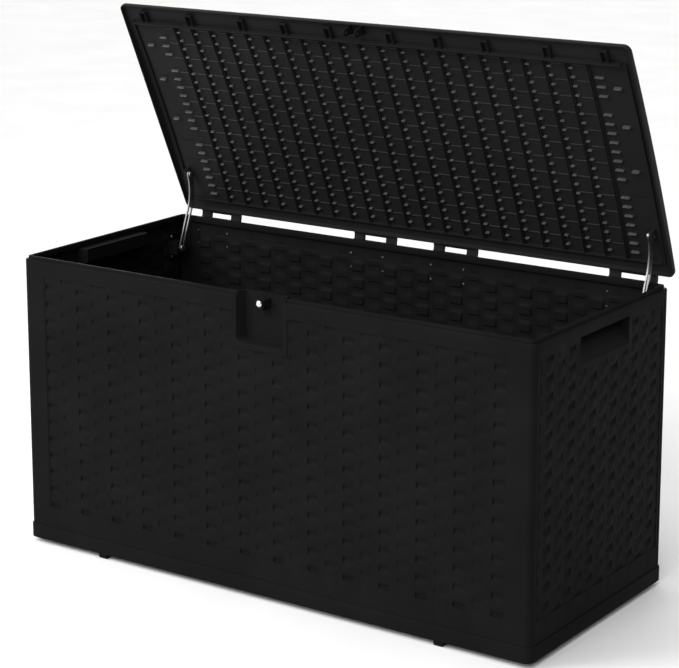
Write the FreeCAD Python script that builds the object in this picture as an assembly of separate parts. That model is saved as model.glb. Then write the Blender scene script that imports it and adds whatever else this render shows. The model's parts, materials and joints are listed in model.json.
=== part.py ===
"""Resin storage bench: a deck box with a hinged lid held open by two slotted stays.

Millimetres, +Z up, front towards -Y, origin on the floor under the middle of the box.
The lid is built closed and then turned open about the hinge pins, which is the rest pose.
"""
import os
from math import cos, radians, sin, sqrt

import FreeCAD
import Part
from FreeCAD import Vector

# --- driving dimensions ---------------------------------------------------------------------
WIDTH = 1208.0            # outside of the side walls
DEPTH = 525.0             # outside of the front and rear walls
RIM_Z = 617.0             # top of the walls above the floor
FOOT_H = 10.0
SKIRT_H = 31.0            # base skirt, above the feet
SKIRT_OUT = 2.5           # how far the skirt stands proud of the walls
WALL_T = 5.0
CORNER_R = 14.0
SEAM_Y = 243.0            # where the front and rear walls' returns meet the side walls
SEAM_GAP = 0.3

RIM_FLANGE_T = 12.0       # thickness of the wall at the rim
RIM_FLANGE_H = 14.0
RIM_STEP_H = 7.0          # rebate round the rim for the lid's skirt
RIM_STEP_IN = 6.0

GROOVE_DEPTH = 8.0        # groove in the base that holds the walls' lower edges
BASE_RING_T = 16.5
FLOOR_T = 4.0
FLOOR_TOP = 26.0
BASE_RIB_T = 4.0

LID_W = 1210.0
LID_FRONT = -264.5
LID_REAR = 263.0
LID_TOP = RIM_Z + 4.5     # top of the lid at its front and rear edges
LID_CROWN = 8.5           # how much higher its middle is
LID_PLATE_T = 3.0
LID_SKIRT_T = 3.5
LID_LOW = RIM_Z - 6.0     # lower edge of the lid's skirt
OPEN_ANGLE = 65.0

HINGE_Y = 283.5
HINGE_Z = 602.7
HINGE_XS = (-512.0, -100.0, 100.0, 512.0)
HINGE_W = 104.0
KNUCKLE_R = 8.0
PIN_R = 3.0
RUNNING = 0.05            # radial clearance of a pin in its hole

RECESS_HALF_FRONT = 56.0  # lock recess in the front wall
RECESS_HALF_BACK = 48.0
RECESS_DEPTH = 25.0
RECESS_BOTTOM = 517.0
RECESS_T = 4.0
RECESS_R = 12.0

LUG_HALF_W = 9.0          # padlock lug in the recess
LUG_Z = (587.0, 607.0)
LUG_PROUD = 2.0
LOCK_HOLE_R = 3.75
LOCK_HOLE_Y = -254.5
LOCK_HOLE_Z = 593.0

GRIP_HALF = 96.0          # hand grip scooped into each side wall
GRIP_BOTTOM = 534.0
GRIP_MOUTH_TOP = 588.0
GRIP_TOP = 600.0
GRIP_DEPTH = 30.0
GRIP_T = 4.0

STAY_X = 567.0            # mid plane of each lid stay
STAY_T = 3.0
STAY_HALF_W = 8.0
STAY_PIVOT_CLOSED = (168.5, 613.5)
STUD = (212.0, 550.0)     # fixed shoulder stud that the stay's slot slides over
SLOT_TOP = (243.8, 634.5)
SLOT_HALF_W = 3.4

POCKET_XS = (74.0, 183.0, 291.0, 426.0, 548.0)   # box ribs in the lid's front channel
RIB_PITCH = 46.85
RIB_START = -478.9        # middle of the first double rib under the lid
RIB_COUNT = 22

half_w = WIDTH / 2
half_d = DEPTH / 2
skirt_top = FOOT_H + SKIRT_H
wall_bottom = skirt_top - GROOVE_DEPTH
lid_under = LID_TOP - LID_PLATE_T
nodes = {}


# --- shape helpers --------------------------------------------------------------------------
def box(x, y, z):
    """A box from three (low, high) pairs."""
    low = Vector(x[0], y[0], z[0])
    return Part.makeBox(x[1] - x[0], y[1] - y[0], z[1] - z[0], low)


def rounded_slab(half_x, y, z, radius):
    """A slab with rounded upright corners."""
    slab = box((-half_x, half_x), y, z)
    upright = [e for e in slab.Edges if abs(e.Vertexes[0].X - e.Vertexes[1].X) < 1e-6
               and abs(e.Vertexes[0].Y - e.Vertexes[1].Y) < 1e-6]
    return slab.makeFillet(radius, upright)


def wall_ring(outset, inset, z):
    """The band between two offsets of the walls' outer outline."""
    outer = rounded_slab(half_w + outset, (-half_d - outset, half_d + outset), z, CORNER_R + outset)
    inner_r = max(CORNER_R - inset, 2.0)
    inner = rounded_slab(half_w - inset, (-half_d + inset, half_d - inset), (z[0] - 1, z[1] + 1), inner_r)
    return outer.cut(inner)


def rod(axis, radius, start, end, centre):
    """A cylinder along X or Y from start to end; centre is its other two coordinates."""
    if axis == "x":
        return Part.makeCylinder(radius, end - start, Vector(start, *centre), Vector(1, 0, 0))
    return Part.makeCylinder(radius, end - start, Vector(centre[0], start, centre[1]), Vector(0, 1, 0))


def prism_x(points, x):
    """A (y, z) polygon swept along X."""
    corners = [Vector(x[0], *p) for p in points]
    face = Part.Face(Part.makePolygon(corners + corners[:1]))
    return face.extrude(Vector(x[1] - x[0], 0, 0))


def prism_y(points, y):
    """An (x, z) polygon swept along Y."""
    corners = [Vector(p[0], y[0], p[1]) for p in points]
    face = Part.Face(Part.makePolygon(corners + corners[:1]))
    return face.extrude(Vector(0, y[1] - y[0], 0))


def under_crown(drop):
    """Everything below the lid's crowned top surface lowered by drop."""
    middle = (LID_FRONT + LID_REAR) / 2
    half = LID_REAR - middle
    radius = (half ** 2 + LID_CROWN ** 2) / (2 * LID_CROWN)
    peak = LID_TOP + LID_CROWN - drop
    reach = 300.0
    end = peak - radius + sqrt(radius ** 2 - reach ** 2)
    left, top, right = (Vector(-700, middle + dy, z) for dy, z in ((-reach, end), (0, peak), (reach, end)))
    floor = [Vector(-700, middle + dy, 400) for dy in (reach, -reach)]
    edges = [Part.Arc(left, top, right).toShape(), Part.makeLine(right, floor[0]),
             Part.makeLine(floor[0], floor[1]), Part.makeLine(floor[1], left)]
    return Part.Face(Part.Wire(edges)).extrude(Vector(1400, 0, 0))


def fuse(shapes):
    return shapes[0].multiFuse(shapes[1:]).removeSplitter()


def mirrored(shape):
    return shape.mirror(Vector(0, 0, 0), Vector(1, 0, 0))


def opened(shape):
    """Turn a piece of the closed lid to the rest pose."""
    turned = shape.copy()
    turned.rotate(Vector(0, HINGE_Y, HINGE_Z), Vector(1, 0, 0), -OPEN_ANGLE)
    return turned


def turn_yz(point, degrees):
    """Turn a (y, z) point about the hinge axis."""
    dy = point[0] - HINGE_Y
    dz = point[1] - HINGE_Z
    c = cos(radians(degrees))
    s = sin(radians(degrees))
    return (HINGE_Y + c * dy - s * dz, HINGE_Z + s * dy + c * dz)


# --- base and feet --------------------------------------------------------------------------
def make_base():
    ring = wall_ring(SKIRT_OUT, BASE_RING_T - SKIRT_OUT, (FOOT_H, skirt_top))
    groove = wall_ring(SEAM_GAP, WALL_T + SEAM_GAP, (wall_bottom - SEAM_GAP, skirt_top + 1))
    inside_x = half_w - BASE_RING_T + SKIRT_OUT + 1
    inside_y = half_d - BASE_RING_T + SKIRT_OUT + 1
    floor = box((-inside_x, inside_x), (-inside_y, inside_y), (FLOOR_TOP - FLOOR_T, FLOOR_TOP))
    rib_z = (FOOT_H, FLOOR_TOP - FLOOR_T)
    ribs = [box((-inside_x, inside_x), (-BASE_RIB_T / 2, BASE_RIB_T / 2), rib_z)]
    for x in (-408.0, -204.0, 0.0, 204.0, 408.0):
        ribs.append(box((x - BASE_RIB_T / 2, x + BASE_RIB_T / 2), (-inside_y, inside_y), rib_z))
    return fuse([ring.cut(groove), floor] + ribs)


def make_feet():
    """Four edge pads and one under the middle of the floor."""
    pads = [box((-30, 30), (-30, 30), (0, FOOT_H))]
    for x in (-408.0, 408.0):
        for y in ((-262.0, -202.0), (202.0, 262.0)):
            pads.append(box((x - 10, x + 10), y, (0, FOOT_H)))
    shaped = []
    for pad in pads:
        bottom = [e for e in pad.Edges if max(v.Z for v in e.Vertexes) < 1e-6]
        shaped.append(pad.makeChamfer(1.5, bottom))
    return Part.makeCompound(shaped)


# --- walls ----------------------------------------------------------------------------------
def full_wall_ring():
    """All four walls as one band, with the thick stepped rim."""
    band = wall_ring(0, WALL_T, (wall_bottom, RIM_Z))
    flange = wall_ring(0, RIM_FLANGE_T, (RIM_Z - RIM_FLANGE_H, RIM_Z))
    step = wall_ring(5, RIM_STEP_IN, (RIM_Z - RIM_STEP_H, RIM_Z + 5))
    return fuse([band, flange]).cut(step), step


def lap_strips():
    """Strips on the front and rear returns that overlap the side walls' inner faces."""
    face_x = half_w - WALL_T
    strips = []
    for side in (-1, 1):
        against_return = sorted((side * (face_x - 4.5), side * face_x))
        past_seam = sorted((side * (face_x - 4.5), side * (face_x - SEAM_GAP)))
        z = (wall_bottom + GROOVE_DEPTH + 1, RIM_Z - RIM_FLANGE_H - 1)
        strips.append(box(against_return, (-SEAM_Y - 11, -SEAM_Y - SEAM_GAP), z))
        strips.append(box(past_seam, (-SEAM_Y - SEAM_GAP, -SEAM_Y + 13), z))
    return strips


def recess_wire(half, bottom, y, top):
    """A U-shaped outline with rounded lower corners."""
    r = RECESS_R
    k = r * (1 - cos(radians(45)))
    p = [Vector(-half, y, top), Vector(-half, y, bottom + r), Vector(-half + r, y, bottom),
         Vector(half - r, y, bottom), Vector(half, y, bottom + r), Vector(half, y, top)]
    left = Part.Arc(p[1], Vector(-half + k, y, bottom + k), p[2]).toShape()
    right = Part.Arc(p[3], Vector(half - k, y, bottom + k), p[4]).toShape()
    lines = [Part.makeLine(p[0], p[1]), left, Part.makeLine(p[2], p[3]), right,
             Part.makeLine(p[4], p[5]), Part.makeLine(p[5], p[0])]
    return Part.Wire(lines)


def make_front(ring, step):
    wall = ring.common(box((-700, 700), (-400, -SEAM_Y - SEAM_GAP / 2), (0, 700)))
    back_y = -half_d + RECESS_DEPTH
    t = RECESS_T
    cavity = Part.makeLoft([recess_wire(RECESS_HALF_FRONT, RECESS_BOTTOM, -half_d - 1, RIM_Z + 5),
                            recess_wire(RECESS_HALF_BACK, RECESS_BOTTOM + 3, back_y, RIM_Z + 5)], True, True)
    shell = Part.makeLoft([recess_wire(RECESS_HALF_FRONT + t, RECESS_BOTTOM - t, -half_d, RIM_Z),
                           recess_wire(RECESS_HALF_BACK + t, RECESS_BOTTOM + 3 - t, back_y + t, RIM_Z)], True, True)
    wall = fuse([wall, shell] + lap_strips()).cut(cavity).cut(step)
    screw_hole = rod("y", 2.1, back_y - 1, back_y + t + 1, (0, 600))
    return wall.cut(screw_hole)


def make_rear(ring):
    wall = ring.common(box((-700, 700), (SEAM_Y + SEAM_GAP / 2, 400), (0, 700)))
    strips = [s.mirror(Vector(0, 0, 0), Vector(0, 1, 0)) for s in lap_strips()]
    holes = [rod("y", 2.1, half_d - WALL_T - 1, half_d + 1, (x, z)) for x, z in hinge_screw_places()]
    return fuse([wall] + strips).cut(Part.makeCompound(holes))


def grip_profile(outset):
    """The hand grip's section in X and Z, grown by outset away from the hand."""
    x0 = half_w
    deep = x0 - GRIP_DEPTH
    return [(x0 + 1 - outset, GRIP_BOTTOM - 1.5 - outset), (x0 - 9 - outset, GRIP_BOTTOM + 30 - outset),
            (deep - outset, GRIP_MOUTH_TOP - 8 - outset), (deep - outset, GRIP_TOP + outset),
            (x0 - WALL_T - 2 + outset, GRIP_TOP + outset)]


def make_side(ring):
    """The right wall: a plate with a scooped grip whose lip is the band under the rim."""
    wall = ring.common(box((500, 700), (-SEAM_Y + SEAM_GAP / 2, SEAM_Y - SEAM_GAP / 2), (0, 700)))
    lip_x = half_w - WALL_T - 2
    cavity_points = grip_profile(0) + [(lip_x, GRIP_MOUTH_TOP), (half_w + 1, GRIP_MOUTH_TOP)]
    cavity = prism_y(cavity_points, (-GRIP_HALF, GRIP_HALF))
    shell_points = grip_profile(GRIP_T) + [(half_w - 1, GRIP_TOP + GRIP_T), (half_w - 1, GRIP_BOTTOM - 10)]
    shell = prism_y(shell_points, (-GRIP_HALF - GRIP_T, GRIP_HALF + GRIP_T))
    screw_holes = [rod("x", 1.6, half_w - WALL_T - 1, half_w - 1.5, p) for p in guide_screw_places()]
    return fuse([wall, shell]).cut(cavity).cut(Part.makeCompound(screw_holes))


# --- lock -----------------------------------------------------------------------------------
def make_lug():
    y = (-half_d - LUG_PROUD, -half_d + RECESS_DEPTH)
    block = box((-LUG_HALF_W, LUG_HALF_W), y, LUG_Z)
    front = [e for e in block.Edges if max(v.Y for v in e.Vertexes) < y[0] + 1e-6]
    block = block.makeFillet(2.5, front)
    hole = rod("x", LOCK_HOLE_R, -20, 20, (LOCK_HOLE_Y, LOCK_HOLE_Z))
    stud_hole = rod("y", 2.05, y[0] - 1, y[0] + 12, (0, 600))
    screw_hole = rod("y", 2.05, y[1] - 9, y[1] + 1, (0, 600))
    return block.cut(hole).cut(stud_hole).cut(screw_hole)


def dome(radius, height, base_y, direction, centre):
    """A shallow domed head standing on the plane y = base_y."""
    sphere_r = (radius ** 2 + height ** 2) / (2 * height)
    centre_y = base_y - direction * (sphere_r - height)
    ball = Part.makeSphere(sphere_r, Vector(centre[0], centre_y, centre[1]))
    far = sorted((base_y, base_y + direction * 50))
    return ball.common(box((-50 + centre[0], 50 + centre[0]), far, (centre[1] - 50, centre[1] + 50)))


def make_lug_stud():
    face = -half_d - LUG_PROUD
    head = dome(6.5, 3.5, face, -1, (0, 600))
    return fuse([head, rod("y", 2.0, face - 0.5, face + 11, (0, 600))])


def make_lug_screw():
    seat = -half_d + RECESS_DEPTH + RECESS_T
    head = dome(5.0, 2.5, seat, 1, (0, 600))
    return fuse([head, rod("y", 2.0, seat - RECESS_T - 8, seat + 0.5, (0, 600))])


def make_hasp():
    """Two cheeks under the lid's free edge that come down on either side of the lug."""
    base = box((-15, 15), (-260.5, -239), (lid_under - 3, lid_under + 3)).common(under_crown(LID_PLATE_T))
    parts = [base]
    for x in ((-15, -12), (12, 15)):
        outline = [(-260.5, lid_under - 2), (-239.0, lid_under - 2),
                   (LOCK_HOLE_Y + 7.6, LOCK_HOLE_Z), (LOCK_HOLE_Y - 6.0, LOCK_HOLE_Z)]
        parts.append(prism_x(outline, x))
        parts.append(rod("x", 7.6, x[0], x[1], (LOCK_HOLE_Y, LOCK_HOLE_Z)))
    hole = rod("x", LOCK_HOLE_R, -20, 20, (LOCK_HOLE_Y, LOCK_HOLE_Z))
    return fuse(parts).cut(hole)


# --- hinges ---------------------------------------------------------------------------------
def hinge_screw_places():
    return [(x + dx, z) for x in HINGE_XS for dx in (-40.0, 40.0) for z in (556.0, 586.0)]


def make_bracket(x):
    """A wall plate with one middle knuckle."""
    plate = box((x - HINGE_W / 2, x + HINGE_W / 2), (half_d, half_d + 4), (545, 597))
    web = [(half_d + 4, 556), (half_d + 4, 592), (276, 602), (284, HINGE_Z), (285, HINGE_Z - 7.8)]
    parts = [plate, prism_x(web, (x - 28, x + 28)), rod("x", KNUCKLE_R, x - 28, x + 28, (HINGE_Y, HINGE_Z))]
    bracket = fuse(parts).cut(rod("x", PIN_R + RUNNING, x - 30, x + 30, (HINGE_Y, HINGE_Z)))
    holes = [rod("y", 2.1, half_d - 1, half_d + 5, p) for p in hinge_screw_places() if abs(p[0] - x) < 60]
    return bracket.cut(Part.makeCompound(holes))


def lid_arm(x):
    """The lid's own hinge arm: an outer knuckle at each end joined by a web over the middle one."""
    web = [(LID_REAR - LID_SKIRT_T, LID_TOP), (270, LID_TOP), (291.5, 608), (291.5, HINGE_Z),
           (275.5, HINGE_Z), (275.5, 606), (266, 613.5), (LID_REAR - LID_SKIRT_T, 613.5)]
    span = (x - HINGE_W / 2, x + HINGE_W / 2)
    knuckles = []
    for ends in ((span[0], x - 28.5), (x + 28.5, span[1])):
        knuckles.append(rod("x", KNUCKLE_R, ends[0], ends[1], (HINGE_Y, HINGE_Z)))
    middle = rod("x", KNUCKLE_R + 1, x - 28.5, x + 28.5, (HINGE_Y, HINGE_Z))
    return [prism_x(web, span).cut(middle)] + knuckles


def make_hinge_pin(x):
    head = rod("x", 5.0, x + HINGE_W / 2 + 0.5, x + HINGE_W / 2 + 2.5, (HINGE_Y, HINGE_Z))
    shank = rod("x", PIN_R, x - HINGE_W / 2 - 2, x + HINGE_W / 2 + 1, (HINGE_Y, HINGE_Z))
    return fuse([shank, head])


def make_hinge_screws():
    screws = []
    for place in hinge_screw_places():
        shank = rod("y", 2.0, half_d - WALL_T - 3, half_d + 4.5, place)
        screws.append(fuse([shank, dome(4.5, 2.5, half_d + 4, 1, place)]))
    return Part.makeCompound(screws)


# --- lid ------------------------------------------------------------------------------------
def hung(footprints, height):
    """Ribs of one height that hang from the crowned plate, each from its (x, y) ranges."""
    blocks = [box(x, y, (LID_TOP - 50, LID_TOP + LID_CROWN)) for x, y in footprints]
    return Part.makeCompound(blocks).common(under_crown(1)).cut(under_crown(LID_PLATE_T + height)).Solids


def make_lid():
    half = LID_W / 2
    y = (LID_FRONT, LID_REAR)
    t = LID_SKIRT_T
    low = LID_LOW
    high = LID_TOP + LID_CROWN + 1
    block = rounded_slab(half, y, (low, high), CORNER_R).common(under_crown(0))
    hollow = rounded_slab(half - t, (y[0] + t, y[1] - t), (low - 1, high), CORNER_R - t)
    parts = [block.cut(hollow.common(under_crown(LID_PLATE_T)))]

    parts += hung([((-579, 579), (-223, -220))], 13)
    parts += hung([((-579, 579), (235, 238))], 5)
    parts += hung([((-588, -585), (-223, 238)), ((585, 588), (-223, 238))], 5)
    for x in [side * x for x in POCKET_XS for side in (-1, 1)]:
        frame = hung([((x - 8, x + 8), (-249.5, -222))], 10)[0]
        parts.append(frame.cut(box((x - 6, x + 6), (-247.5, -224), (LID_TOP - 50, lid_under + 0.6))))
    ribs = [RIB_START + i * RIB_PITCH + dx for i in range(RIB_COUNT) for dx in (-3.0, 1.4)]
    parts += hung([((x, x + 1.6), (-222, 236)) for x in ribs], 5)
    tabs = [(side * 559, y_tab) for side in (-1, 1) for y_tab in (-163.5, -76.0, 26.0)]
    parts += hung([((x - 8, x + 8), (y_tab - 2, y_tab + 2)) for x, y_tab in tabs], 8)
    for side in (-1, 1):
        lug_x = sorted((side * (STAY_X + 2), side * 577))
        pivot_y = STAY_PIVOT_CLOSED[0]
        boss = box(lug_x, (pivot_y - 12, pivot_y + 12), (STAY_PIVOT_CLOSED[1] - 9, high))
        parts.append(boss.common(under_crown(1)))
    for x in HINGE_XS:
        parts += lid_arm(x)

    lid = fuse(parts)
    holes = [rod("x", PIN_R + RUNNING, x - 60, x + 60, (HINGE_Y, HINGE_Z)) for x in HINGE_XS]
    holes += [rod("x", PIN_R + RUNNING, x, x + 20, STAY_PIVOT_CLOSED) for x in (-580, 560)]
    return lid.cut(Part.makeCompound(holes))


# --- lid stays ------------------------------------------------------------------------------
def stay_outline(pivot):
    """Closed wire of a stay in Y and Z: a straight slotted leg, then an arc up to the pivot."""
    leg = Vector(0, SLOT_TOP[0] - STUD[0], SLOT_TOP[1] - STUD[1])
    along = leg.normalize()
    inward = Vector(0, -along.z, along.y)
    foot = Vector(0, *STUD)
    bend = Vector(0, *SLOT_TOP)
    top = Vector(0, *pivot)
    chord = top - bend
    radius = chord.Length ** 2 / (2 * chord.dot(inward))
    centre = bend + inward * radius

    def on_arc(fraction, r):
        start = bend - centre
        total = start.getAngle(top - centre)
        turned = FreeCAD.Rotation(Vector(1, 0, 0), FreeCAD.Units.Quantity(total * fraction, "rad")
                                  .getValueAs("deg").Value).multVec(start)
        return centre + turned.normalize() * r

    w = STAY_HALF_W
    inner = [on_arc(f, radius - w) for f in (0, 0.5, 1)]
    outer = [on_arc(f, radius + w) for f in (1, 0.5, 0)]
    tip = top + (top - centre).cross(Vector(-1, 0, 0)).normalize() * w
    heel = foot - along * w
    edges = [Part.makeLine(foot + inward * w, inner[0]), Part.Arc(*inner).toShape(),
             Part.Arc(inner[2], tip, outer[0]).toShape(), Part.Arc(*outer).toShape(),
             Part.makeLine(outer[2], foot - inward * w),
             Part.Arc(foot - inward * w, heel, foot + inward * w).toShape()]
    return Part.Wire(edges), along, inward


def make_stay():
    pivot = turn_yz(STAY_PIVOT_CLOSED, -OPEN_ANGLE)
    wire, along, inward = stay_outline(pivot)
    face = Part.Face(wire)
    face.translate(Vector(STAY_X - STAY_T / 2, 0, 0))
    bar = face.extrude(Vector(STAY_T, 0, 0))
    ends = [Vector(STAY_X - 5, *p) for p in (STUD, SLOT_TOP)]
    r = SLOT_HALF_W
    corners = [ends[0] + inward * r, ends[1] + inward * r, ends[1] - inward * r, ends[0] - inward * r]
    slot = Part.Face(Part.makePolygon(corners + corners[:1])).extrude(Vector(10, 0, 0))
    rounds = [Part.makeCylinder(r, 10, e, Vector(1, 0, 0)) for e in ends]
    hole = rod("x", PIN_R + RUNNING, STAY_X - 5, STAY_X + 5, pivot)
    return bar.cut(fuse([slot] + rounds)).cut(hole)


def button(radius, height, x0, centre):
    """A low turned head along X with a broken outer edge."""
    head = rod("x", radius, x0, x0 + height, centre)
    rim = [e for e in head.Edges if e.Closed and abs(e.Vertexes[0].X - x0) < 1e-6]
    return head.makeFillet(height * 0.45, rim)


def make_rivet():
    head = button(6.0, 2.6, STAY_X - STAY_T / 2 - 3.0, STAY_PIVOT_CLOSED)
    return fuse([head, rod("x", PIN_R, STAY_X - STAY_T / 2 - 1, 577, STAY_PIVOT_CLOSED)])


def make_stud():
    head = button(7.0, 3.0, STAY_X - STAY_T / 2 - 3.6, STUD)
    return fuse([head, rod("x", PIN_R, STAY_X - STAY_T / 2 - 1, 590, STUD)])


def guide_screw_places():
    return [(STUD[0], STUD[1] + dz) for dz in (-22.0, 22.0)]


def make_guide():
    """A stand-off block on the side wall that carries the stud."""
    wall_x = half_w - WALL_T
    y, z = STUD
    flange = box((wall_x - 4, wall_x), (y - 15, y + 15), (z - 30, z + 30))
    post = box((STAY_X + 3, wall_x - 3), (y - 12, y + 12), (z - 14, z + 14))
    guide = fuse([flange, post])
    cuts = [rod("x", PIN_R + 0.02, STAY_X, 591, STUD)]
    cuts += [rod("x", 2.0, wall_x - 5, wall_x + 1, p) for p in guide_screw_places()]
    return guide.cut(Part.makeCompound(cuts))


def make_guide_screws():
    seat = half_w - WALL_T - 4
    screws = []
    for place in guide_screw_places():
        head = button(3.6, 2.4, seat - 2.4, place)
        screws.append(fuse([head, rod("x", 1.5, seat - 1, half_w - 2, place)]))
    return screws


# --- assembly -------------------------------------------------------------------------------
ring, step = full_wall_ring()
nodes["base_tray"] = make_base()
nodes["feet"] = make_feet()
nodes["front_wall"] = make_front(ring, step)
nodes["rear_wall"] = make_rear(ring)
side = make_side(ring)
nodes["right_wall"] = side
nodes["left_wall"] = mirrored(side)
nodes["lock_lug"] = make_lug()
nodes["lug_stud"] = make_lug_stud()
nodes["lug_screw"] = make_lug_screw()
for number, x in enumerate(HINGE_XS, 1):
    nodes[f"hinge_bracket_{number}"] = make_bracket(x)
    nodes[f"hinge_pin_{number}"] = make_hinge_pin(x)
nodes["hinge_screws"] = make_hinge_screws()
nodes["lid"] = opened(make_lid())
nodes["lid_hasp"] = opened(make_hasp())
right_screws = make_guide_screws()
for name, shape in (("stay", make_stay()), ("stay_rivet", opened(make_rivet())),
                    ("stay_stud", make_stud()), ("stay_guide", make_guide())):
    nodes[f"{name}_right"] = shape
    nodes[f"{name}_left"] = mirrored(shape)
nodes["guide_screws"] = Part.makeCompound(right_screws + [mirrored(s) for s in right_screws])

os.makedirs("parts", exist_ok=True)
for name, shape in nodes.items():
    shape.exportStep(f"parts/{name}.step")
    print(f"{name}: {len(shape.Solids)} solid(s), {shape.Volume / 1000:.1f} cm3, valid {shape.isValid()}")
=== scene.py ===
"""Storage bench with an open lid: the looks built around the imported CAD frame. Metres, +Z up."""

from math import cos, pi, radians, sin

import bpy
import bmesh
import numpy as np
from mathutils import Matrix, Vector
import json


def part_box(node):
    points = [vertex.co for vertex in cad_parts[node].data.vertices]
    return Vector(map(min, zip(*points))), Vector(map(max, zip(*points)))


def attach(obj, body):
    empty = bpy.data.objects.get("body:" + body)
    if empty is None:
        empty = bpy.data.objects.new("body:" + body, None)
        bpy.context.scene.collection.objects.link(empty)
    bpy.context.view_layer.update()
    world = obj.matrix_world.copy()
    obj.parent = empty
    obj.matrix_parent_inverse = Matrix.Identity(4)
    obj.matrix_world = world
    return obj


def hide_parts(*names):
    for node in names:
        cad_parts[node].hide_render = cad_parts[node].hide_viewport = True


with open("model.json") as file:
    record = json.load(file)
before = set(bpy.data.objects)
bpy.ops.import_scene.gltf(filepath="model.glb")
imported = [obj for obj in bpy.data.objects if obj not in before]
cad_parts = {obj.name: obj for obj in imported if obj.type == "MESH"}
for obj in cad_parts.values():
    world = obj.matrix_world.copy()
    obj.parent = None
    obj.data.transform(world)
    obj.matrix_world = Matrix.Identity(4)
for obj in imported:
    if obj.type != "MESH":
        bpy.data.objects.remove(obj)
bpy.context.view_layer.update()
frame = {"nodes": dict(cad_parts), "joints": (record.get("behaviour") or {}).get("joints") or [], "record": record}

# --- dimensions, from the CAD where it has them ----------------------------------------------
wall_low, wall_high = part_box("front_wall")
HALF_W = wall_high.x
HALF_D = -wall_low.y
RIM_Z = wall_high.z
WALL_FOOT = wall_low.z
CORNER_R = 0.014
CORNER_STEPS = 9
WALL_T = 0.005
SEAM_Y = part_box("right_wall")[1].y
BASE_LOW, BASE_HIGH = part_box("base_tray")
SKIRT_Z = BASE_HIGH.z
FLOOR_Z = 0.026

hinge = next(j for j in frame["joints"] if j["name"] == "lid_hinge")
HINGE = Vector(hinge["pos_m"])
OPEN = radians(hinge["range_deg"][1])

# The woven fields of the walls: their extent, the grid of the weave and its depths (deep, shallow).
FIELD_LOW = 0.085
FIELD_HIGH = 0.579
FIELD_DEPTH = 0.0015
FIELD_EDGE = 0.0012
END_HALF = 0.549
SIDE_HALF = 0.238
CELL = 0.018
CELL_START = 0.080
PITCH = 0.041
COLUMN = 0.013
END_RELIEF = (0.0036, 0.0020)
SIDE_RELIEF = (0.0030, 0.0018)
PILLOW = 0.0009
OFF_FIELD = 9.0

# Half width and half height of the flat patch that covers a screw's tip.
SCREW_PATCH = (0.013, 0.008)

# Plain areas in the fields, as (half width, bottom): round the lock recess, round the grip, and none.
LOCK_PLAIN = (0.064, 0.505)
GRIP_PLAIN = (0.104, 0.525)
NO_PLAIN = (0.0, OFF_FIELD)


# --- mesh helpers -----------------------------------------------------------------------------
def new_object(name, verts, faces, smooth_angle=40.0):
    mesh = bpy.data.meshes.new(name)
    mesh.from_pydata([tuple(v) for v in verts], [], faces)
    mesh.validate()
    obj = bpy.data.objects.new(name, mesh)
    bpy.context.scene.collection.objects.link(obj)
    clean(obj, smooth_angle)
    return obj


def clean(obj, smooth_angle=40.0):
    """Outward normals, and smooth shading that stops at sharp edges."""
    bm = bmesh.new()
    bm.from_mesh(obj.data)
    bmesh.ops.remove_doubles(bm, verts=bm.verts, dist=1e-6)
    bmesh.ops.recalc_face_normals(bm, faces=bm.faces)
    limit = radians(smooth_angle)
    for face in bm.faces:
        face.smooth = True
    for edge in bm.edges:
        edge.smooth = len(edge.link_faces) == 2 and edge.calc_face_angle(0.0) < limit
    bm.to_mesh(obj.data)
    bm.free()


def tube_grid(points, close_u=False):
    """Faces of a grid of points (u, loop): loops are always closed, and open ends are capped."""
    nu, nv = points.shape[:2]
    index = np.arange(nu * nv).reshape(nu, nv)
    faces = []
    last = nu if close_u else nu - 1
    for i in range(last):
        a = index[i]
        b = index[(i + 1) % nu]
        for j in range(nv):
            k = (j + 1) % nv
            faces.append((int(a[j]), int(b[j]), int(b[k]), int(a[k])))
    if not close_u:
        faces.append(tuple(int(i) for i in index[0]))
        faces.append(tuple(int(i) for i in index[-1][::-1]))
    return points.reshape(-1, 3), faces


def merge(parts):
    """Joins (verts, faces) lists into one."""
    verts = []
    faces = []
    for v, f in parts:
        start = len(verts)
        verts.extend(tuple(p) for p in v)
        faces.extend(tuple(i + start for i in face) for face in f)
    return verts, faces


def rounded_bar(x, y, z, edge=0.0006):
    """A box from three (low, high) pairs, with its edges broken by small bevels."""
    bm = bmesh.new()
    bmesh.ops.create_cube(bm, size=1.0)
    size = Vector((x[1] - x[0], y[1] - y[0], z[1] - z[0]))
    middle = Vector((x[1] + x[0], y[1] + y[0], z[1] + z[0])) / 2
    for v in bm.verts:
        v.co = Vector((v.co.x * size.x, v.co.y * size.y, v.co.z * size.z)) + middle
    bmesh.ops.bevel(bm, geom=list(bm.edges), offset=min(edge, min(size) * 0.4), segments=2, affect="EDGES")
    bm.verts.index_update()
    out = ([v.co.copy() for v in bm.verts], [tuple(v.index for v in f.verts) for f in bm.faces])
    bm.free()
    return out


def loft(sections):
    """A closed form through point loops of equal count."""
    count = len(sections[0])
    verts = [p for section in sections for p in section]
    faces = []
    for s in range(len(sections) - 1):
        for i in range(count):
            k = (i + 1) % count
            faces.append((s * count + i, s * count + k, (s + 1) * count + k, (s + 1) * count + i))
    faces.append(tuple(range(count)))
    faces.append(tuple(range(len(verts) - 1, len(verts) - count - 1, -1)))
    return verts, faces


def long_bar(x, y, z, edge):
    """A bar with broken lower edges, divided along Y so that it can follow the crown."""
    count = max(int((y[1] - y[0]) / CROWN_STEP), 1)
    loops = []
    for n in range(count + 1):
        at = y[0] + (y[1] - y[0]) * n / count
        loops.append([(x[0], at, z[1]), (x[0], at, z[0] + edge), (x[0] + edge, at, z[0]),
                      (x[1] - edge, at, z[0]), (x[1], at, z[0] + edge), (x[1], at, z[1])])
    return loft(loops)


def sorted_pair(a, b):
    """(low, high), whichever side of the middle the two are on."""
    return (min(a, b), max(a, b))


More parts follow.
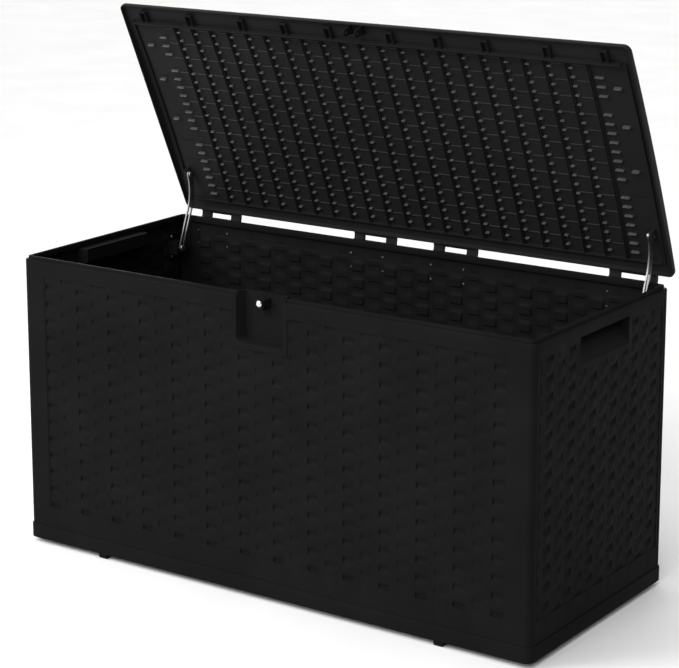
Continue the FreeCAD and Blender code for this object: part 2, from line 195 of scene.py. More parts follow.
def shrink_towards(point, centre, distance, x):
    """A (y, z) point moved towards centre, as a 3-D point at x."""
    d = Vector((centre[0] - point[0], centre[1] - point[1]))
    step = d.normalized() * distance if distance else Vector((0, 0))
    return (x, point[0] + step.x, point[1] + step.y)


def boolean(obj, verts, faces, operation):
    """Cuts or adds a closed form to obj's mesh."""
    tool = new_object("tool", verts, faces)
    mod = obj.modifiers.new("bool", "BOOLEAN")
    mod.operation = operation
    mod.solver = "EXACT"
    mod.object = tool
    graph = bpy.context.evaluated_depsgraph_get()
    mesh = bpy.data.meshes.new_from_object(obj.evaluated_get(graph))
    obj.modifiers.clear()
    obj.data = mesh
    bpy.data.objects.remove(tool)


def mirrored(obj, name):
    """A copy of obj for the other end of the box."""
    mesh = obj.data.copy()
    mesh.transform(Matrix.Scale(-1, 4, (1, 0, 0)))
    mesh.flip_normals()
    twin = bpy.data.objects.new(name, mesh)
    bpy.context.scene.collection.objects.link(twin)
    return twin


def open_lid(obj):
    """Turns a mesh made for the closed lid to the open rest pose."""
    turn = Matrix.Translation(HINGE) @ Matrix.Rotation(-OPEN, 4, "X") @ Matrix.Translation(-HINGE)
    obj.data.transform(turn)
    return obj


# --- the woven relief -------------------------------------------------------------------------
def ramp(value, start, end):
    """0 at start, 1 at end, eased at both."""
    t = np.clip((value - start) / (end - start), 0, 1)
    return t * t * (3 - 2 * t)


def weave(u, v, pitch, column, cell, start, deep, shallow, pillow, phase):
    """Depth of the woven relief: pockets one above the other with pillows between, in staggered columns."""
    j = np.round(u / pitch)
    du = np.abs(u - j * pitch)
    odd = np.mod(j, 2) > 0.5
    i = np.floor((v - start) / cell + 1e-6)
    f = (v - start) / cell - i
    pocket = np.mod(i + np.where(odd, 0, 1) + phase, 2) < 0.5
    edge = np.minimum(f, 1 - f) * cell
    sides = 1 - ramp(du, column - 0.0013, column)
    bowl = np.where(odd, deep, shallow) * sides * ramp(edge, -0.0008, 0.0088)
    bulge = pillow * (1 - ramp(du, column * 0.45, column)) * np.clip(4 * f * (1 - f), 0, 1) ** 0.7
    return np.where(pocket, bowl, -bulge)


def inner_weave(u, v, pitch, column, cell, start, deep, shallow, phase):
    """The same pockets seen from behind, a wall's thickness larger."""
    j = np.round(u / pitch)
    du = np.abs(u - j * pitch)
    odd = np.mod(j, 2) > 0.5
    total = np.zeros(np.broadcast(u, v).shape)
    i = np.floor((v - start) / cell)
    for step in (-1, 0, 1):
        k = i + step
        pocket = np.mod(k + np.where(odd, 0, 1) + phase, 2) < 0.5
        low = start + k * cell
        inside = np.minimum(v - low, low + cell - v)
        hump = ramp(inside, -0.0016, 0.0007) * (1 - ramp(du, column - 0.0008, column + 0.0022))
        total = np.maximum(total, np.where(pocket, np.where(odd, deep, shallow) * hump, 0))
    return total


def column_lines(half, pitch, offsets):
    """Grid lines across the weave, at the offsets on both sides of each column's middle."""
    count = int(half / pitch) + 1
    lines = [j * pitch + s * o for j in range(-count, count + 1) for o in offsets for s in (-1, 1)]
    return sorted({round(x, 6) for x in lines if abs(x) < half - 0.0016})


def cell_lines(low, high, start, cell, offsets):
    """Grid lines along the weave, at the offsets above each cell's start."""
    count = int((high - start) / cell) + 2
    lines = [start + i * cell + o for i in range(-1, count) for o in offsets]
    return sorted({round(z, 6) for z in lines if low + 0.0013 < z < high - 0.0013})


# Grid offsets of the weave's outer and inner side, across a column (U) and along a cell (V).
OUTER_U = (0.0, 0.0045, 0.009, 0.0116, 0.013)
INNER_U = (0.0122, 0.0152)
OUTER_V = (0.0, 0.0014, 0.0030, 0.0048, 0.0072, 0.0108, 0.0132, 0.0150, 0.0166)
INNER_V = (-0.0016, 0.0007, 0.0090)


def field_mask(u, z, half, gap):
    """1 inside the recessed field, 0 on the frame round it and in the plain area gap."""
    edge = np.minimum(half - np.abs(u), np.minimum(z - FIELD_LOW, FIELD_HIGH - z))
    mask = ramp(edge, 0, FIELD_EDGE)
    plain = np.minimum(gap[0] - np.abs(u), z - gap[1])
    return mask * (1 - ramp(plain, -FIELD_EDGE, 0))


# --- walls ------------------------------------------------------------------------------------
def rim_loop(outer_z, inner_z):
    """A wall's closed section, as (kind, offset inwards, height): up outside, over the rim, down inside."""
    loop = [("outer", 0.0, z) for z in outer_z]
    loop += [("rim", o, RIM_Z + z) for o, z in (
        (0.0, -0.0086), (0.0003, -0.0076), (0.0011, -0.0070), (0.0050, -0.0070), (0.0058, -0.0066),
        (0.0060, -0.0058), (0.0060, -0.0015), (0.0064, -0.0005), (0.0074, 0.0), (0.0106, 0.0),
        (0.0116, -0.0004), (0.0120, -0.0014), (0.0120, -0.0128), (0.0116, -0.0137), (0.0106, -0.0140),
        (0.0062, -0.0144), (0.0052, -0.0152))]
    loop += [("inner", WALL_T, z) for z in reversed(inner_z)]
    return loop


def sweep_wall(path, half, gap, phase, depths, solid=()):
    """A wall's verts and faces along path, a list of (point, inward normal, u or None). The weave covers
    u within half, apart from the plain area gap; solid lists the (u, z) places where a screw ends in the
    wall, which get no relief."""
    deep, shallow = depths
    outer_z = [WALL_FOOT, SKIRT_Z + 0.002, FIELD_LOW, FIELD_LOW + FIELD_EDGE]
    outer_z += cell_lines(FIELD_LOW, FIELD_HIGH, CELL_START, CELL, OUTER_V)
    outer_z += [FIELD_HIGH - FIELD_EDGE, FIELD_HIGH, 0.596]
    if gap[1] < FIELD_HIGH:
        outer_z = sorted(set(outer_z) | {gap[1], gap[1] - FIELD_EDGE})
    inner_z = [WALL_FOOT, FIELD_LOW]
    inner_z += cell_lines(FIELD_LOW, FIELD_HIGH, CELL_START, CELL, INNER_V) + [FIELD_HIGH]
    loop = rim_loop(outer_z, inner_z)
    kinds = np.array([k for k, _, _ in loop])
    offset = np.array([o for _, o, _ in loop])[None, :]
    z = np.array([h for _, _, h in loop])[None, :]
    base = np.array([p for p, _, _ in path])
    normal = np.array([n for _, n, _ in path])
    u = np.array([OFF_FIELD if c is None else c for _, _, c in path])[:, None]
    woven = (np.abs(u) < half) & (z > FIELD_LOW) & (z < FIELD_HIGH)
    mask = field_mask(u, z, half, gap)
    relief = weave(u, z, PITCH, COLUMN, CELL, CELL_START, deep, shallow, PILLOW, phase)
    for at_u, at_z in solid:
        near = (np.abs(u - at_u) < SCREW_PATCH[0]) & (np.abs(z - at_z) < SCREW_PATCH[1])
        relief = np.where(near, 0, relief)
    outside = np.where(woven, mask * (FIELD_DEPTH + relief * (mask > 0.98)), 0)
    behind = inner_weave(u, z, PITCH, COLUMN, CELL, CELL_START, deep, shallow, phase)
    plain = (np.abs(u) < gap[0] + 0.002) & (z > gap[1] - 0.003)
    inside = np.where(woven & ~plain, FIELD_DEPTH + behind * (np.abs(u) < half - 0.002), 0)
    seam = np.zeros_like(u)
    seam[[0, -1]] = 0.0011
    seam[[1, -2]] = 0.0003
    depth = offset + np.where(kinds[None, :] == "outer", outside + seam, 0)
    depth = depth + np.where(kinds[None, :] == "inner", inside, 0)
    points = np.empty((len(path), len(loop), 3))
    points[..., :2] = base[:, None, :] + normal[:, None, :] * depth[..., None]
    points[..., 2] = np.broadcast_to(z, depth.shape)
    return tube_grid(points)


def end_wall_path(sign, half, gap_half):
    """The front (sign -1) or rear (sign +1) wall with its corners and short returns."""
    flat = HALF_W - CORNER_R
    back = SEAM_Y + 0.0003
    xs = set(column_lines(half, PITCH, OUTER_U + INNER_U))
    edges = (flat, half, half - FIELD_EDGE, half - 0.0005)
    xs |= set(edges) | {-x for x in edges}
    if gap_half:
        xs |= {gap_half, gap_half + FIELD_EDGE, -gap_half, -gap_half - FIELD_EDGE}
    face = [((x, sign * HALF_D), (0, -sign), x) for x in sorted(xs)]
    arc = []
    for step in range(1, CORNER_STEPS + 1):
        a = pi / 2 * step / CORNER_STEPS
        centre = (flat, sign * (HALF_D - CORNER_R))
        out = (sin(a), sign * cos(a))
        point = (centre[0] + CORNER_R * out[0], centre[1] + CORNER_R * out[1])
        arc.append((point, (-out[0], -out[1]), None))
    seam = [((HALF_W, sign * y), (-1, 0), None) for y in (back + 0.0028, back + 0.0008, back)]
    tail = arc + seam
    head = [((-p[0], p[1]), (-n[0], n[1]), None) for p, n, _ in reversed(tail)]
    return head + face + tail


def side_wall_path(half):
    """The right-hand wall, front to rear."""
    ys = set(column_lines(half, PITCH, OUTER_U + INNER_U))
    edges = (half, half - FIELD_EDGE, half - 0.0005, SEAM_Y, SEAM_Y - 0.0008, SEAM_Y - 0.0028)
    ys |= set(edges) | {-y for y in edges}
    return [((HALF_W, y), (-1, 0), y) for y in sorted(ys)]


def u_outline(half, bottom, radius, top, y, steps=8):
    """A U with rounded lower corners, closed across the top."""
    points = [(-half, y, top)]
    for side in (-1, 1):
        for step in range(steps + 1):
            t = step / steps if side < 0 else 1 - step / steps
            a = pi / 2 * t
            x = side * (half - radius + radius * cos(a))
            points.append((x, y, bottom + radius - radius * sin(a)))
    points.append((half, y, top))
    return points


def make_front():
    """The front wall, with the lock recess let into it as a pocket with its own walls."""
    path = end_wall_path(-1, END_HALF, LOCK_PLAIN[0])
    verts, faces = sweep_wall(path, END_HALF, LOCK_PLAIN, 0, END_RELIEF)
    wall = new_object("front_wall_woven", verts, faces)
    face_y = -HALF_D
    shell = loft([u_outline(0.0592, 0.5132, 0.014, RIM_Z, face_y + 0.004),
                  u_outline(0.0525, 0.515, 0.014, RIM_Z, face_y + 0.028),
                  u_outline(0.0515, 0.516, 0.013, RIM_Z - 0.0006, face_y + 0.029)])
    boolean(wall, *shell, "UNION")
    above = RIM_Z + 0.01
    cavity = loft([u_outline(0.0600, 0.5130, 0.0140, above, face_y - 0.003),
                   u_outline(0.0575, 0.5155, 0.0125, above, face_y - 0.0001),
                   u_outline(0.0565, 0.5165, 0.0120, above, face_y + 0.0004),
                   u_outline(0.0560, 0.5172, 0.0118, above, face_y + 0.0014),
                   u_outline(0.0488, 0.5195, 0.0110, above, face_y + 0.0232),
                   u_outline(0.0480, 0.5203, 0.0105, above, face_y + 0.0245),
                   u_outline(0.0468, 0.5215, 0.0100, above, face_y + 0.0250)])
    boolean(wall, *cavity, "DIFFERENCE")
    clean(wall)
    return wall


def make_rear():
    """The rear wall, woven from end to end."""
    path = end_wall_path(1, END_HALF, NO_PLAIN[0])
    return new_object("rear_wall_woven", *sweep_wall(path, END_HALF, NO_PLAIN, 0, END_RELIEF))


def grip_section(y, grow, lift):
    """The hand grip's section at one y; grow widens it and lift raises its floor towards the ends."""
    x = HALF_W
    return [(x + 0.004, y, 0.5290 + lift - grow), (x + 0.0005, y, 0.5330 + lift - grow),
            (x - 0.0005, y, 0.5365 + lift - grow), (x - 0.0045, y, 0.5500 + lift * 0.8 - grow),
            (x - 0.0095, y, 0.5640 + lift * 0.5 - grow), (x - 0.0200, y, 0.5735 + lift * 0.3 - grow),
            (x - 0.0280 - grow, y, 0.5800 - grow), (x - 0.0300 - grow, y, 0.5830),
            (x - 0.0300 - grow, y, 0.5980 + grow), (x - 0.0285 - grow, y, 0.6000 + grow),
            (x - 0.0080, y, 0.6000 + grow), (x - 0.0070, y, 0.5990), (x - 0.0070, y, 0.5892),
            (x - 0.0062, y, 0.5882), (x - 0.0012, y, 0.5880), (x, y, 0.5886), (x + 0.004, y, 0.5900)]


def make_side():
    """The right-hand wall, with the hand grip let into it as a pocket with its own walls."""
    low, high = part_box("guide_screws")
    head_r = (high.y - low.y) / 2
    screw_y = (low.y + high.y) / 2
    screws = [(screw_y, low.z + head_r), (screw_y, high.z - head_r)]
    verts, faces = sweep_wall(side_wall_path(SIDE_HALF), SIDE_HALF, GRIP_PLAIN, 1, SIDE_RELIEF, screws)
    wall = new_object("right_wall_woven", verts, faces)
    shell = []
    for y in (-0.1000, -0.0990, 0.0990, 0.1000):
        trim = 0.001 if abs(y) > 0.0995 else 0.0
        back = HALF_W - 0.034 + trim
        top = 0.6040 - trim
        shell.append([(HALF_W - 0.001, y, 0.530), (HALF_W - 0.0135, y, 0.5600), (back, y, 0.5770),
                      (back, y, top), (HALF_W - 0.003, y, top), (HALF_W - 0.001, y, 0.600)])
    boolean(wall, *loft(shell), "UNION")
    spans = ((0.0960, 0.006), (0.0952, 0.0022), (0.0925, 0.0008), (0.088, 0.0))
    cavity = [grip_section(-y, 0.0, lift) for y, lift in spans]
    cavity += [grip_section(y, 0.0, lift) for y, lift in reversed(spans)]
    boolean(wall, *loft(cavity), "DIFFERENCE")
    clean(wall, 32)
    return wall


# --- base -------------------------------------------------------------------------------------
def rounded_loop(half_x, y0, y1, radius, steps=6, spacing=None):
    """Points round a rectangle with rounded corners; spacing also divides its straight sides along Y."""
    points = []
    parts = max(int(round(0.5 / spacing)), 1) if spacing else 1
    for k, (cx, cy) in enumerate(((half_x - radius, y1 - radius), (-half_x + radius, y1 - radius),
                                  (-half_x + radius, y0 + radius), (half_x - radius, y0 + radius))):
        for step in range(steps + 1):
            a = pi / 2 * (k + step / steps)
            points.append((cx + radius * cos(a), cy + radius * sin(a)))
        if k in (1, 3):
            start, end = (y1 - radius, y0 + radius) if k == 1 else (y0 + radius, y1 - radius)
            points += [(points[-1][0], start + (end - start) * n / parts) for n in range(1, parts)]
    return points


def ring(section, half_x, y0, y1, radius, spacing=None):
    """A closed section of (offset inwards, height) swept round a rounded rectangle."""
    points = []
    for inset, z in section:
        r = max(radius - inset, 0.001)
        outline = rounded_loop(half_x - inset, y0 + inset, y1 - inset, r, spacing=spacing)
        points.append([(x, y, z) for x, y in outline])
    return tube_grid(np.array(points).transpose(1, 0, 2), close_u=True)


def make_base():
    """The tray: a skirt with the walls' groove, the floor, ribs under it and low strips on top of it."""
    half_x = BASE_HIGH.x
    half_y = BASE_HIGH.y
    low = BASE_LOW.z
    top = SKIRT_Z
    skirt = [(0.0012, low), (0.0003, low + 0.0005), (0.0, low + 0.0015), (0.0, top - 0.0022),
             (0.0003, top - 0.0011), (0.0009, top - 0.0003), (0.0017, top), (0.0022, top),
             (0.0022, WALL_FOOT - 0.0003), (0.0078, WALL_FOOT - 0.0003), (0.0078, top), (0.0135, top),
             (0.0158, top - 0.0004), (0.0165, top - 0.0014), (0.0165, low + 0.0008), (0.0158, low)]
    parts = [ring(skirt, half_x, -half_y, half_y, CORNER_R + 0.0025)]
    inner = half_x - 0.0155
    deep = half_y - 0.0155
    parts.append(rounded_bar((-inner, inner), (-deep, deep), (FLOOR_Z - 0.004, FLOOR_Z), 0.0008))
    parts.append(rounded_bar((-inner, inner), (-0.002, 0.002), (low, FLOOR_Z - 0.003)))
    for x in (-0.408, -0.204, 0.0, 0.204, 0.408):
        parts.append(rounded_bar((x - 0.002, x + 0.002), (-deep, deep), (low, FLOOR_Z - 0.003)))
    for y in np.arange(-0.21, 0.22, 0.07):
        strip = (FLOOR_Z - 0.001, FLOOR_Z + 0.0004)
        parts.append(rounded_bar((-0.56, 0.56), (y - 0.004, y + 0.004), strip, 0.0012))
    return new_object("base_tray_moulded", *merge(parts))


# --- lid --------------------------------------------------------------------------------------
LID_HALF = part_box("lid")[1].x
LID_Y0 = -0.2645
LID_Y1 = 0.263
LID_TOP = RIM_Z + 0.0045
LID_CROWN = 0.0085
LID_UNDER = LID_TOP - 0.003
LID_LOW = RIM_Z - 0.006
LID_BAND = 0.0238
CROWN_STEP = 0.02

# Ribs under the lid: how far they are sunk into the plate, the double ribs and the front box ribs.
RIB_ROOT = 0.0006
RIB_START = -0.4789
RIB_PITCH = 0.04685
RIB_COUNT = 22
RIB_XS = [RIB_START + RIB_PITCH * i for i in range(RIB_COUNT)]
BOX_RIB_XS = (0.074, 0.183, 0.291, 0.426, 0.548)
LID_CELL = 0.0211


def crowned(verts, straight_below=None):
    """Lifts lid points by the crown over their Y; points at or below straight_below stay."""
    out = []
    for x, y, z in verts:
        t = (y - (LID_Y0 + LID_Y1) / 2) / ((LID_Y1 - LID_Y0) / 2)
        lift = LID_CROWN * max(1 - t * t, 0)
        if straight_below is not None:
            lift *= min(max((z - straight_below) / 0.004, 0), 1)
        out.append((x, y, z + lift))
    return out


def make_lid_shell():
    """The lid's rim and skirt, and the woven plate inside it."""
    low = LID_LOW
    top = LID_TOP
    section = [(0.024, LID_UNDER), (0.0052, LID_UNDER), (0.0041, LID_UNDER - 0.0005),
               (0.0035, LID_UNDER - 0.0016), (0.0035, low + 0.0006), (0.0029, low), (0.0008, low),
               (0.0001, low + 0.0006),
               (0.0, low + 0.0014), (0.0, top - 0.0042), (0.0005, top - 0.0022), (0.0018, top - 0.0008),
               (0.0040, top), (0.0240, top), (0.0250, top - 0.0010)]
    verts, faces = ring(section, LID_HALF, LID_Y0, LID_Y1, CORNER_R, CROWN_STEP)
    parts = [(crowned(verts, low + 0.0015), faces)]
    half_x = LID_HALF - LID_BAND
    mid_y = (LID_Y0 + LID_Y1) / 2
    half_y = (LID_Y1 - LID_Y0) / 2 - LID_BAND
    pitch = 0.0466
    column = 0.015
    start = -half_y + 0.007
    across = (0.0, 0.006, 0.011, 0.0136, column)
    along = (0.0, 0.0013, 0.005, 0.0105, 0.016, 0.0198)
    xs = sorted(set(column_lines(half_x, pitch, across)) | {-half_x, half_x})
    ys = sorted(set(cell_lines(-half_y, half_y, start, LID_CELL, along)) | {-half_y, half_y})
    u = np.array(xs)[:, None]
    v = np.array(ys)[None, :]
    edge = np.minimum(half_x - np.abs(u), half_y - np.abs(v))
    inside = ramp(edge, 0.006, 0.0075)
    relief = weave(u, v, pitch, column, LID_CELL, start, 0.0014, 0.0010, 0.0012, 0)
    z = top - 0.0007 - relief * inside + 0 * u
    nu = len(xs)
    nv = len(ys)
    upper = np.stack([np.broadcast_to(u, (nu, nv)), np.broadcast_to(v + mid_y, (nu, nv)), z], -1)
    lower = np.array([[(x, y + mid_y, LID_UNDER + 0.0001) for y in ys[::-1]] for x in xs])
    verts, faces = tube_grid(np.concatenate([upper, lower], axis=1))
    parts.append((crowned(verts), faces))
    return open_lid(new_object("lid_shell_woven", *merge(parts)))


def make_lid_ribs():
    """Locating ribs, box ribs, double ribs, stay bosses and their webs."""
    under = LID_UNDER
    up = under + RIB_ROOT
    low = (under - 0.005, up)
    parts = [long_bar((-0.579, 0.579), (-0.223, -0.220), (under - 0.013, up), 0.0008),
             long_bar((-0.579, 0.579), (0.235, 0.238), low, 0.0008)]
    for side in (-1, 1):
        parts.append(long_bar(sorted_pair(side * 0.585, side * 0.588), (-0.2225, 0.2375), low, 0.0008))
    for x in BOX_RIB_XS:
        for centre in (-x, x):
            parts += box_rib(centre, under)
    for x in RIB_XS:
        for dx in (-0.0030, 0.0014):
            parts.append(long_bar((x + dx, x + dx + 0.0016), (-0.2205, 0.2355), low, 0.0004))
    for side in (-1, 1):
        boss = sorted_pair(side * 0.569, side * 0.5768)
        parts.append(rounded_bar(boss, (0.1565, 0.1805), (0.6015, up), 0.0012))
        for y in (0.083, 0.133):
            parts.append(rounded_bar(sorted_pair(side * 0.533, side * 0.572), (y - 0.0007, y + 0.0007),
                                     (under - 0.0012, up), 0.0004))
    verts, faces = merge(parts)
    return open_lid(new_object("lid_ribs", crowned(verts), faces))


def make_lid_ridges():
    """Thin cross ridges between the double ribs."""
    parts = []
    height = (LID_UNDER - 0.0018, LID_UNDER + RIB_ROOT)
    spans = [(RIB_XS[0] - 0.0300, RIB_XS[0] - 0.0034)]
    spans += [(x + 0.0146, x + 0.0438) for x in RIB_XS[:-1]]
    for span in spans:
        for k in range(12):
            y = -0.2088 + 0.03745 * k
            parts.append(rounded_bar(span, (y - 0.0008, y + 0.0008), height, 0.0004))
    verts, faces = merge(parts)
    return open_lid(new_object("lid_ridges", crowned(verts), faces))


def make_lid_rungs():
    """Short rungs beside the double ribs, longer bars at the ends and the side tabs."""
    under = LID_UNDER
    up = under + RIB_ROOT
    half = 0.0017
    parts = []
    for x in RIB_XS[:-1]:
        for k in range(21):
            y = LID_Y1 - (0.4652 - LID_CELL * k)
            width = (x + 0.0052, x + 0.0144)
            parts.append(rounded_bar(width, (y - half, y + half), (under - 0.0062, up), 0.0010))
    missing = (3, 12)
    for k in range(20):
        if k in missing:
            continue
        y = LID_Y1 - (0.448 - 0.02118 * k)
        for x in (-0.5275, 0.5150):
            parts.append(rounded_bar((x, x + 0.0190), (y - half, y + half), (under - 0.0066, up), 0.0010))
    for side in (-1, 1):
        for y in (-0.1635, -0.0760, 0.0260):
            parts.append(rounded_bar(sorted_pair(side * 0.551, side * 0.567), (y - 0.002, y + 0.002),
                                     (under - 0.008, up), 0.0010))
    verts, faces = merge(parts)
    return open_lid(new_object("lid_rungs", crowned(verts), faces, 80))


def box_rib(centre, under):
    """A low open box in the lid's front channel, as four walls."""
    height = (under - 0.0100, under + 0.0010)
    ends = (-0.2490, -0.2225)
    width = (centre - 0.0078, centre + 0.0078)
    return [rounded_bar((centre - 0.0080, centre - 0.0060), ends, height),
            rounded_bar((centre + 0.0060, centre + 0.0080), ends, height),
            rounded_bar(width, (-0.2495, -0.2475), height),
            rounded_bar(width, (-0.2240, -0.2220), height)]


def make_lid_arms():
    """The four hinge arms moulded on the lid, with an open middle for the bracket's knuckle."""
    parts = []
    knuckle_r = 0.008
    turn = np.linspace(radians(62), radians(-180), 15)
    outline = [(0.2600, LID_TOP - 0.0004), (0.2660, LID_TOP - 0.0003), (0.2720, LID_TOP - 0.0014)]
    outline += [(HINGE.y + knuckle_r * cos(a), HINGE.z + knuckle_r * sin(a)) for a in turn]
    outline += [(0.2752, 0.6065), (0.2705, 0.6105), (0.2655, 0.6125), (0.2600, 0.6125)]
    for n in range(1, 5):
        low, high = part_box(f"hinge_bracket_{n}")
        x = round((low.x + high.x) / 2, 5)
        for low, high in ((x - 0.052, x - 0.0285), (x + 0.0285, x + 0.052)):
            loops = []
            for at, inset in ((low, 0.0006), (low + 0.0006, 0.0), (high - 0.0006, 0.0), (high, 0.0006)):
                loops.append([shrink_towards((y, z), (0.2775, 0.6095), inset, at) for y, z in outline])
            parts.append(loft(loops))
        bridge = (0.6135, LID_TOP - 0.0004)
        parts.append(rounded_bar((x - 0.030, x + 0.030), (0.2600, 0.2705), bridge, 0.0012))
    return open_lid(new_object("lid_hinge_arms", *merge(parts)))


# --- materials --------------------------------------------------------------------------------
def node_material(name):
    """A material with an empty Principled shader, and its object coordinates."""
    material = bpy.data.materials.new(name)
    material.use_nodes = True
    tree = material.node_tree
    tree.nodes.clear()
    output = tree.nodes.new("ShaderNodeOutputMaterial")
    shader = tree.nodes.new("ShaderNodeBsdfPrincipled")
    tree.links.new(shader.outputs[0], output.inputs[0])
    place = tree.nodes.new("ShaderNodeTexCoord")
    return material, tree, shader, place


def noise(tree, place, scale, detail, rough=0.55):
    """Cloudy noise over the object."""
    node = tree.nodes.new("ShaderNodeTexNoise")
    node.inputs["Scale"].default_value = scale
    node.inputs["Detail"].default_value = detail
    node.inputs["Roughness"].default_value = rough
    tree.links.new(place.outputs["Object"], node.inputs["Vector"])
    return node


def ranged(tree, source, low, high):
    """The middle of a noise stretched between low and high."""
    node = tree.nodes.new("ShaderNodeMapRange")
    node.inputs["From Min"].default_value = 0.3
    node.inputs["From Max"].default_value = 0.7
    node.inputs["To Min"].default_value = low
    node.inputs["To Max"].default_value = high
    tree.links.new(source.outputs[0], node.inputs[0])
    return node


def ramp_colour(tree, source, dark, light):
    """A noise turned into a colour between dark and light."""
    node = tree.nodes.new("ShaderNodeValToRGB")
    node.color_ramp.elements[0].position = 0.32
    node.color_ramp.elements[1].position = 0.70
    node.color_ramp.elements[0].color = (*dark, 1)
    node.color_ramp.elements[1].color = (*light, 1)
    tree.links.new(source.outputs[0], node.inputs[0])
    return node


def bumped(tree, shader, source, strength, distance):
    """Small bumps in the shader's normal from a noise."""
    node = tree.nodes.new("ShaderNodeBump")
    node.inputs["Strength"].default_value = strength
    node.inputs["Distance"].default_value = distance
    tree.links.new(source.outputs[0], node.inputs["Height"])
    tree.links.new(node.outputs[0], shader.inputs["Normal"])


def resin(name, dark, light, rough, grain, shine):
    """Moulded black resin: a fine spark-eroded grain, faint cloudiness and uneven sheen."""
    material, tree, shader, place = node_material(name)
    cloud = noise(tree, place, 9.0, 4.0)
    colour = ramp_colour(tree, cloud, dark, light)
    tree.links.new(colour.outputs[0], shader.inputs["Base Color"])
    sheen = noise(tree, place, 34.0, 6.0, 0.65)
    gloss = ranged(tree, sheen, rough - 0.05, rough + 0.06)
    tree.links.new(gloss.outputs[0], shader.inputs["Roughness"])
    shader.inputs["Specular IOR Level"].default_value = shine
    fine = noise(tree, place, 1150.0, 3.0, 0.6)
    bumped(tree, shader, fine, grain, 0.00016)
    return material


def metal(name, colour, rough, streak):
    """Plated steel with fine drawn streaks and dulled patches."""
    material, tree, shader, place = node_material(name)
    stretch = tree.nodes.new("ShaderNodeMapping")
    stretch.inputs["Scale"].default_value = streak
    tree.links.new(place.outputs["Object"], stretch.inputs["Vector"])
    lines = tree.nodes.new("ShaderNodeTexNoise")
    lines.inputs["Scale"].default_value = 260.0
    lines.inputs["Detail"].default_value = 4.0
    tree.links.new(stretch.outputs[0], lines.inputs["Vector"])
    shade = ramp_colour(tree, lines, tuple(c * 0.8 for c in colour), colour)
    tree.links.new(shade.outputs[0], shader.inputs["Base Color"])
    dull = noise(tree, place, 90.0, 5.0)
    gloss = ranged(tree, dull, rough - 0.05, rough + 0.09)
    tree.links.new(gloss.outputs[0], shader.inputs["Roughness"])
    shader.inputs["Metallic"].default_value = 1.0
    bumped(tree, shader, lines, 0.12, 0.0001)
    return material


# The lid's rungs and ridges are paler than the rest of its resin, in place of the glints on their edges.
black = resin("black_resin", (0.0064, 0.0064, 0.0066), (0.0080, 0.0080, 0.0082), 0.46, 0.3, 0.010)
lid_black = resin("lid_resin", (0.0112, 0.0112, 0.0114), (0.0134, 0.0134, 0.0137), 0.42, 0.2, 0.03)
lid_rung_resin = resin("lid_resin_rungs", (0.052, 0.052, 0.053), (0.068, 0.068, 0.069), 0.26, 0.1, 0.6)
lid_ridge_resin = resin("lid_resin_ridges", (0.026, 0.026, 0.0264), (0.034, 0.034, 0.0345), 0.34, 0.2, 0.25)
stay_steel = metal("stay_steel", (0.24, 0.24, 0.245), 0.40, (1.0, 1.0, 0.08))
zinc = metal("zinc_steel", (0.52, 0.52, 0.53), 0.34, (0.1, 1.0, 1.0))
chrome = metal("chrome", (0.80, 0.80, 0.81), 0.10, (0.2, 1.0, 1.0))


def finish_piece(obj, body, material, slot, *nodes):
    """Gives a piece its material and its body, and hides the CAD nodes it stands for; slot is not used."""
    obj.data.materials.clear()
    obj.data.materials.append(material)
    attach(obj, body)
    if nodes:
        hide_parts(*nodes)


finish_piece(make_front(), "box", black, "resin", "front_wall")
finish_piece(make_rear(), "box", black, "resin", "rear_wall")
right = make_side()
left = mirrored(right, "left_wall_woven")
finish_piece(right, "box", black, "resin", "right_wall")
finish_piece(left, "box", black, "resin", "left_wall")
finish_piece(make_base(), "box", black, "resin", "base_tray")

finish_piece(make_lid_shell(), "lid", lid_black, "lid_resin", "lid")
finish_piece(make_lid_ribs(), "lid", lid_black, "lid_resin")
finish_piece(make_lid_ridges(), "lid", lid_ridge_resin, "lid_resin")
finish_piece(make_lid_rungs(), "lid", lid_rung_resin, "lid_resin")
finish_piece(make_lid_arms(), "lid", lid_black, "lid_resin")

looks = {"resin": black, "lid_resin": lid_black, "stay_steel": stay_steel, "steel": zinc, "chrome": chrome}
for part in frame["record"]["subparts"]:
    node_mesh = frame["nodes"][part["node"]].data
    node_mesh.materials.clear()
    node_mesh.materials.append(looks[part["material_slot"]])

# --- stage, lights and camera -----------------------------------------------------------------
floor_mesh = bpy.data.meshes.new("floor")
FLOOR = 30
floor_mesh.from_pydata([(-FLOOR, -FLOOR, 0), (FLOOR, -FLOOR, 0), (FLOOR, FLOOR, 0), (-FLOOR, FLOOR, 0)],
                       [], [(0, 1, 2, 3)])
floor = bpy.data.objects.new("floor", floor_mesh)
bpy.context.scene.collection.objects.link(floor)
pale, tree, shader, place = node_material("pale_floor")
shade = ramp_colour(tree, noise(tree, place, 3.0, 2.0), (0.78, 0.78, 0.78), (0.82, 0.82, 0.82))
tree.links.new(shade.outputs[0], shader.inputs["Base Color"])
shader.inputs["Roughness"].default_value = 0.9
floor_mesh.materials.append(pale)

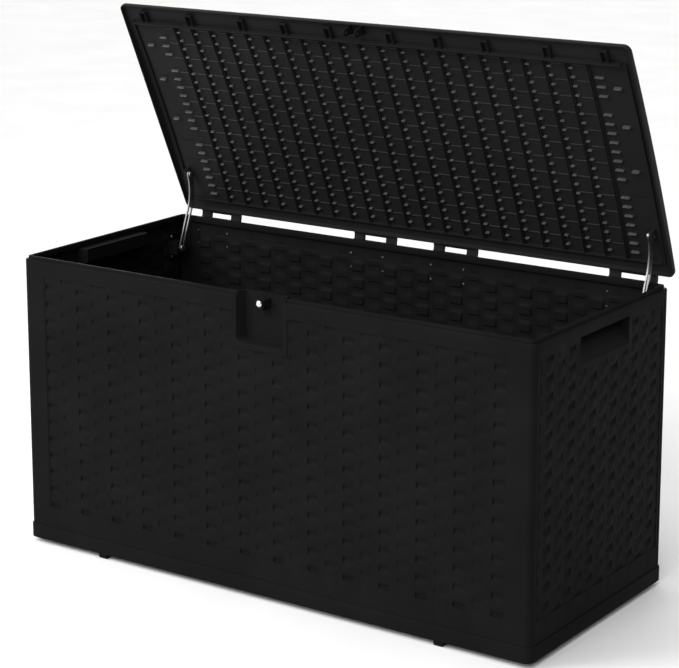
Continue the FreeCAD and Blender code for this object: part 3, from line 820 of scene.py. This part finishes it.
bpy.context.scene.view_settings.view_transform = "Standard"
world = bpy.data.worlds.new("studio")
bpy.context.scene.world = world
world.use_nodes = True
sky = world.node_tree
aim = sky.nodes.new("ShaderNodeTexCoord")
towards = sky.nodes.new("ShaderNodeVectorMath")
towards.operation = "DOT_PRODUCT"
towards.inputs[1].default_value = (-0.74, -0.38, 0.56)
level = sky.nodes.new("ShaderNodeMapRange")
level.inputs["From Min"].default_value = -1.0
level.inputs["From Max"].default_value = 1.0
level.inputs["To Min"].default_value = 0.10
level.inputs["To Max"].default_value = 1.15
sky.links.new(aim.outputs["Generated"], towards.inputs[0])
sky.links.new(towards.outputs["Value"], level.inputs[0])
sky.links.new(level.outputs[0], sky.nodes["Background"].inputs[1])
sky.nodes["Background"].inputs[0].default_value = (1.0, 1.0, 1.0, 1)


def softbox(name, place, aim, size, power):
    """A rectangular light of (width, height) size, turned to aim."""
    light = bpy.data.lights.new(name, "AREA")
    light.shape = "RECTANGLE"
    light.size = size[0]
    light.size_y = size[1]
    light.energy = power
    lamp = bpy.data.objects.new(name, light)
    lamp.location = place
    lamp.rotation_euler = (Vector(aim) - Vector(place)).to_track_quat("-Z", "Y").to_euler()
    bpy.context.scene.collection.objects.link(lamp)


softbox("key", (-2.2, -3.0, 2.8), (0, 0, 0.7), (1.3, 1.1), 85)
softbox("overhead", (-0.3, -1.2, 3.7), (0, 0, 0.6), (3.0, 2.4), 45)


def soft_sun(name, energy, direction):
    """A broad distant light that shines along direction."""
    light = bpy.data.lights.new(name, "SUN")
    light.energy = energy
    light.angle = radians(40)
    lamp = bpy.data.objects.new(name, light)
    lamp.rotation_euler = Vector(direction).to_track_quat("-Z", "Y").to_euler()
    bpy.context.scene.collection.objects.link(lamp)


soft_sun("front", 1.38, (-0.12, 0.84, -0.52))
soft_sun("back", 1.3, (0.46, -0.84, -0.20))

camera_data = bpy.data.cameras.new("camera")
camera_data.sensor_width = 36
camera_data.lens = 118.652
camera_data.shift_y = -0.13284
camera = bpy.data.objects.new("camera", camera_data)
camera.location = (2.4742, -3.5866, 1.6374)
camera.rotation_euler = (radians(90 - 12.526), 0, radians(34.544))
bpy.context.scene.collection.objects.link(camera)
bpy.context.scene.camera = camera
